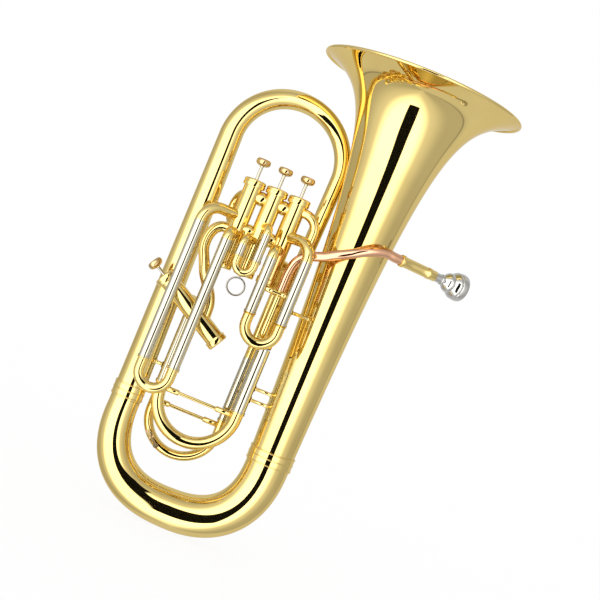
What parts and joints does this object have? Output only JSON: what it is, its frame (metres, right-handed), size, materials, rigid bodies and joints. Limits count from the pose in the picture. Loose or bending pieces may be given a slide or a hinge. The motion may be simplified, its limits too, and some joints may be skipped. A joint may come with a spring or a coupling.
{
  "type": "euphonium",
  "caption": "Upright-bell brass horn with a wide conical bore, pressing pistons, a side piston, pull-out tuning and valve slides, a water key and a cup mouthpiece.",
  "frame": {"origin": "lowest point of the bottom bow, on the plane of the bell and the main branch", "axes": "+X from the main branch to the bell, +Y away from the valve slides, +Z along the bell to its rim"},
  "size_m": [0.4264, 0.2958, 0.7133],
  "materials": {
    "lacquered_brass": "clear lacquer, mirror polished",
    "rose_brass": "clear lacquer, mirror polished",
    "nickel_silver": "polished nickel silver",
    "silver_plate": "silver plate",
    "spring_steel": "drawn wire",
    "felt": "felt"
  },
  "bodies": {
    "body": {"bell": "lacquered_brass", "bell_ferrule": "lacquered_brass", "bottom_bow": "lacquered_brass", "branch_ferrule": "lacquered_brass", "main_branch": "lacquered_brass", "top_bow": "lacquered_brass", "descending_branch": "lacquered_brass", "tuning_leg_left": "nickel_silver", "tuning_leg_right": "nickel_silver", "leadpipe": "rose_brass", "leadpipe_ferrule": "lacquered_brass", "lead_crook": "lacquered_brass", "mouthpiece_receiver": "lacquered_brass", "valve_casing_1": "lacquered_brass", "valve_casing_2": "lacquered_brass", "valve_casing_3": "lacquered_brass", "valve_casing_4": "lacquered_brass", "top_caps": "lacquered_brass", "bottom_caps": "lacquered_brass", "spring_1": "spring_steel", "spring_2": "spring_steel", "spring_3": "spring_steel", "spring_4": "spring_steel", "valve_knuckles": "lacquered_brass", "slide_legs_1": "nickel_silver", "slide_legs_2": "nickel_silver", "slide_legs_3": "nickel_silver", "valve_link": "lacquered_brass", "fourth_leg_left": "nickel_silver", "fourth_leg_right": "nickel_silver", "compensating_loops": "lacquered_brass", "body_braces": "lacquered_brass"},
    "valve_1": {"piston_1": "nickel_silver", "stem_1": "nickel_silver", "finger_button_1": "lacquered_brass", "felt_1": "felt"},
    "valve_2": {"piston_2": "nickel_silver", "stem_2": "nickel_silver", "finger_button_2": "lacquered_brass", "felt_2": "felt"},
    "valve_3": {"piston_3": "nickel_silver", "stem_3": "nickel_silver", "finger_button_3": "lacquered_brass", "felt_3": "felt"},
    "valve_4": {"piston_4": "nickel_silver", "stem_4": "nickel_silver", "finger_button_4": "lacquered_brass", "felt_4": "felt"},
    "tuning_slide": {"tuning_bow": "lacquered_brass", "tuning_brace": "lacquered_brass"},
    "slide_1": {"slide_bow_1": "lacquered_brass"},
    "slide_2": {"slide_bow_2": "lacquered_brass", "pull_ring": "nickel_silver"},
    "slide_3": {"slide_bow_3": "lacquered_brass"},
    "fourth_slide": {"fourth_bow": "lacquered_brass", "fourth_brace": "lacquered_brass", "water_key_saddle": "lacquered_brass"},
    "water_key": {"water_key_lever": "lacquered_brass"},
    "mouthpiece": {"mouthpiece": "silver_plate"}
  },
  "joints": [
    {"name": "valve_1_press", "type": "slide", "parent": "body", "child": "valve_1", "axis": [0, 0, -1], "range_m": [0, 0.016], "stiffness_N_per_m": 100, "springref_m": -0.025, "deforming": ["spring_1"]},
    {"name": "valve_2_press", "type": "slide", "parent": "body", "child": "valve_2", "axis": [0, 0, -1], "range_m": [0, 0.016], "stiffness_N_per_m": 100, "springref_m": -0.025, "deforming": ["spring_2"]},
    {"name": "valve_3_press", "type": "slide", "parent": "body", "child": "valve_3", "axis": [0, 0, -1], "range_m": [0, 0.016], "stiffness_N_per_m": 100, "springref_m": -0.025, "deforming": ["spring_3"]},
    {"name": "valve_4_press", "type": "slide", "parent": "body", "child": "valve_4", "axis": [0.8704, 0, -0.4924], "range_m": [0, 0.012], "stiffness_N_per_m": 100, "springref_m": -0.025, "deforming": ["spring_4"]},
    {"name": "tuning_slide_pull", "type": "slide", "parent": "body", "child": "tuning_slide", "axis": [0, 0, -1], "range_m": [0, 0.038]},
    {"name": "slide_1_pull", "type": "slide", "parent": "body", "child": "slide_1", "axis": [0, 0, -1], "range_m": [0, 0.04]},
    {"name": "slide_2_pull", "type": "slide", "parent": "body", "child": "slide_2", "axis": [0, 0, -1], "range_m": [0, 0.009]},
    {"name": "slide_3_pull", "type": "slide", "parent": "body", "child": "slide_3", "axis": [0, 0, -1], "range_m": [0, 0.05]},
    {"name": "fourth_slide_pull", "type": "slide", "parent": "body", "child": "fourth_slide", "axis": [0, 0, -1], "range_m": [0, 0.02]},
    {"name": "water_key_press", "type": "hinge", "parent": "fourth_slide", "child": "water_key", "pos_m": [-0.0561, 0.0036, 0.11181], "axis": [0.6561, 0, 0.7547], "range_deg": [0, 12], "stiffness_Nm_per_rad": 0.02, "springref_deg": -17.19},
    {"name": "mouthpiece_pull", "type": "slide", "parent": "body", "child": "mouthpiece", "axis": [0.891, 0.4536, -0.0162], "range_m": [0, 0.04]}
  ]
}
